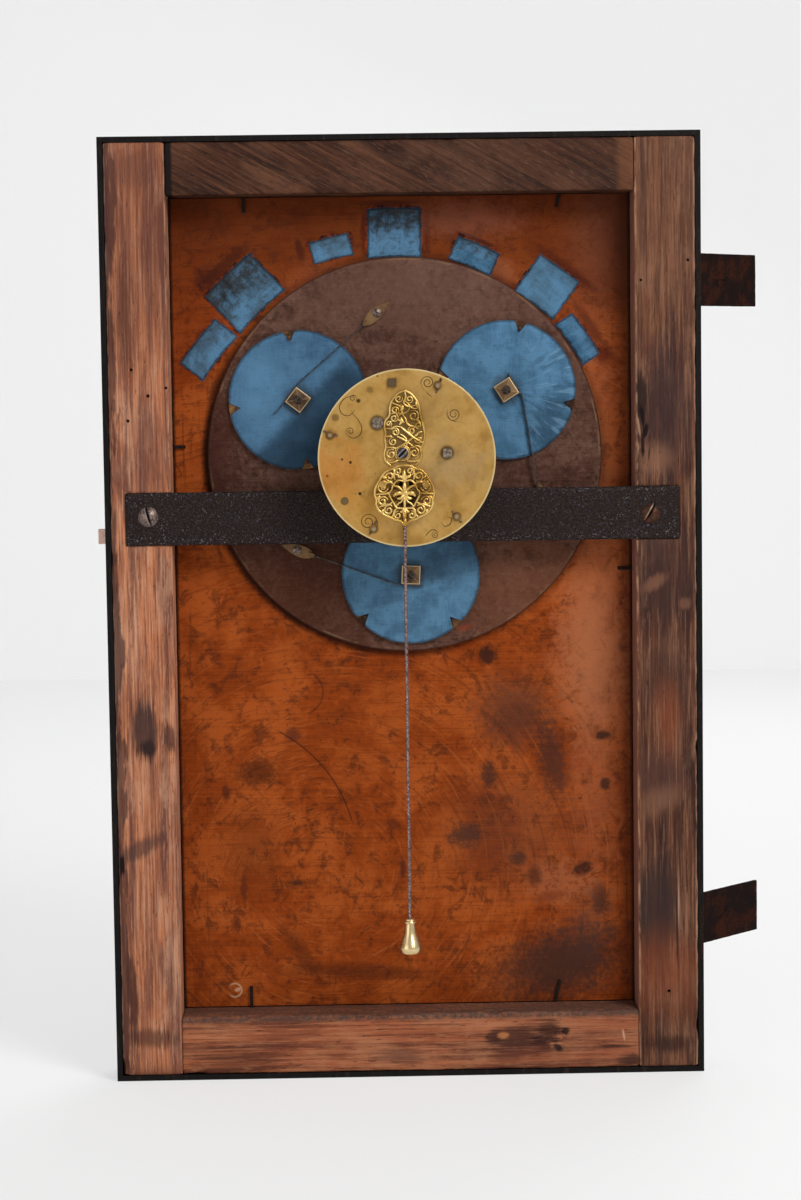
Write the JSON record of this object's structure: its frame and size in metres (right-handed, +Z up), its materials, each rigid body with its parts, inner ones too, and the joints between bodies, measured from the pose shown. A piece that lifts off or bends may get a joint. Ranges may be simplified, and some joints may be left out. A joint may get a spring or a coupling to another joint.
{
  "type": "night clock dial door",
  "caption": "Dial door of a wandering-hours night clock, open to show its turning carrier, hour discs, crossbar and brass movement.",
  "frame": {"origin": "where the screw of the lower hinge leaf enters the case, at the back of the leaf", "axes": "+Z up the door, +X across it towards the hinges, -Y out of the back of the open door"},
  "size_m": [0.4194, 0.1309, 0.585],
  "materials": {
    "rusty_iron": "rusted wrought iron",
    "iron": "dark wrought iron",
    "left_walnut": "bare old walnut",
    "right_walnut": "bare old walnut, darker",
    "top_walnut": "dark old walnut",
    "bottom_walnut": "bare old walnut",
    "ebony": "black polished ebony",
    "dial_copper": "bare copper sheet, darkened",
    "blue_cloth": "blue silk cloth, glued",
    "black_iron": "black pitted wrought iron",
    "screw_iron": "worn iron screws",
    "gilt_brass": "fire-gilt brass",
    "steel": "bright steel",
    "blued_steel": "blued steel",
    "gilt_cock": "fire-gilt brass, polished",
    "brass": "brushed brass",
    "gut": "gut line",
    "carrier_copper": "dull brown copper",
    "dull_brass": "old dull brass",
    "spring_steel": "dark spring steel",
    "disc_copper": "copper sheet",
    "rod_steel": "steel rod",
    "bob_brass": "polished brass",
    "bolt_iron": "bright worn bolt"
  },
  "bodies": {
    "case_side": {"case_leaves": "rusty_iron", "case_leaf_screws": "rusty_iron", "hinge_pins": "iron"},
    "carrier": {"carrier_disc": "carrier_copper", "carrier_arbor": "steel", "centre_wheel": "brass", "disc_studs": "brass", "jumper_feet": "dull_brass", "jumper_screws": "screw_iron", "jumper_spring_1": "spring_steel", "jumper_spring_2": "spring_steel", "jumper_spring_3": "spring_steel"},
    "fusee": {"great_wheel": "brass", "fusee": "brass", "fusee_arbor": "steel"},
    "barrel": {"barrel": "brass", "mainspring": "steel"},
    "third_wheel": {"third_wheel": "brass"},
    "contrate_wheel": {"contrate_wheel": "brass"},
    "crown_wheel": {"crown_wheel": "brass"},
    "pendulum": {"verge": "steel", "pendulum_rod": "rod_steel", "pendulum_bob": "bob_brass"},
    "lock_bolt": {"lock_bolt": "bolt_iron"},
    "hour_disc_1": {"hour_disc_1": "disc_copper", "hour_cloth_1": "blue_cloth", "trip_pins_1": "dull_brass", "hour_square_1": "dull_brass"},
    "hour_disc_2": {"hour_disc_2": "disc_copper", "hour_cloth_2": "blue_cloth", "trip_pins_2": "dull_brass", "hour_square_2": "dull_brass"},
    "hour_disc_3": {"hour_disc_3": "disc_copper", "hour_cloth_3": "blue_cloth", "trip_pins_3": "dull_brass", "hour_square_3": "dull_brass"},
    "door": {"door_leaves": "iron", "left_stile": "left_walnut", "right_stile": "right_walnut", "top_rail": "top_walnut", "bottom_rail": "bottom_walnut", "ebony_edging": "ebony", "front_moulding": "ebony", "dial_plate": "dial_copper", "iron_nails": "iron", "dial_cloths": "blue_cloth", "lock_case": "iron", "crossbar": "black_iron", "crossbar_screws": "screw_iron", "trip_finger": "iron", "front_plate": "gilt_brass", "pillars": "gilt_brass", "taper_pins": "steel", "back_plate": "gilt_brass", "movement_screws": "blued_steel", "upper_cock": "gilt_cock", "pendulum_cock": "gilt_cock", "potences": "brass", "barrel_arbor": "steel", "fusee_line": "gut"}
  },
  "joints": [
    {"name": "door_hinge", "type": "hinge", "parent": "case_side", "child": "door", "pos_m": [-0.01789, -0.02171, 0], "axis": [0, 0, 1], "range_deg": [-15, 135]},
    {"name": "carrier_spin", "type": "hinge", "parent": "door", "child": "carrier", "pos_m": [-0.20059, -0.05931, 0.3001], "axis": [0, 1, 0], "continuous": true},
    {"name": "fusee_spin", "type": "hinge", "parent": "door", "child": "fusee", "pos_m": [-0.17629, -0.05931, 0.3028], "axis": [0, 1, 0], "continuous": true},
    {"name": "barrel_spin", "type": "hinge", "parent": "door", "child": "barrel", "pos_m": [-0.21799, -0.05931, 0.3213], "axis": [0, 1, 0], "continuous": true},
    {"name": "third_spin", "type": "hinge", "parent": "door", "child": "third_wheel", "pos_m": [-0.21961, -0.05931, 0.29091], "axis": [0, 1, 0], "continuous": true},
    {"name": "contrate_spin", "type": "hinge", "parent": "door", "child": "contrate_wheel", "pos_m": [-0.23259, -0.05931, 0.2787], "axis": [0, 1, 0], "continuous": true},
    {"name": "crown_spin", "type": "hinge", "parent": "door", "child": "crown_wheel", "pos_m": [-0.20059, -0.07781, 0.2787], "axis": [1, 0, 0], "continuous": true},
    {"name": "pendulum_swing", "type": "hinge", "parent": "door", "child": "pendulum", "pos_m": [-0.20239, -0.05931, 0.2787], "axis": [0, 1, 0], "range_deg": [-4, 4]},
    {"name": "bolt_slide", "type": "slide", "parent": "door", "child": "lock_bolt", "axis": [1, 0, 0], "range_m": [0, 0.0053]},
    {"name": "disc_1_index", "type": "hinge", "parent": "carrier", "child": "hour_disc_1", "pos_m": [-0.26655, -0.05931, 0.33517], "axis": [0, 1, 0], "continuous": true, "deforming": ["jumper_spring_1"]},
    {"name": "disc_2_index", "type": "hinge", "parent": "carrier", "child": "hour_disc_2", "pos_m": [-0.13724, -0.05931, 0.33969], "axis": [0, 1, 0], "continuous": true, "deforming": ["jumper_spring_2"]},
    {"name": "disc_3_index", "type": "hinge", "parent": "carrier", "child": "hour_disc_3", "pos_m": [-0.19798, -0.05931, 0.22545], "axis": [0, 1, 0], "continuous": true, "deforming": ["jumper_spring_3"]}
  ],
  "couplings": [
    {"joint": "fusee_spin", "follows": "carrier_spin", "ratio": -0.1},
    {"joint": "barrel_spin", "follows": "carrier_spin", "ratio": -0.07},
    {"joint": "third_spin", "follows": "carrier_spin", "ratio": -12},
    {"joint": "contrate_spin", "follows": "carrier_spin", "ratio": 120},
    {"joint": "crown_spin", "follows": "carrier_spin", "ratio": -420}
  ]
}
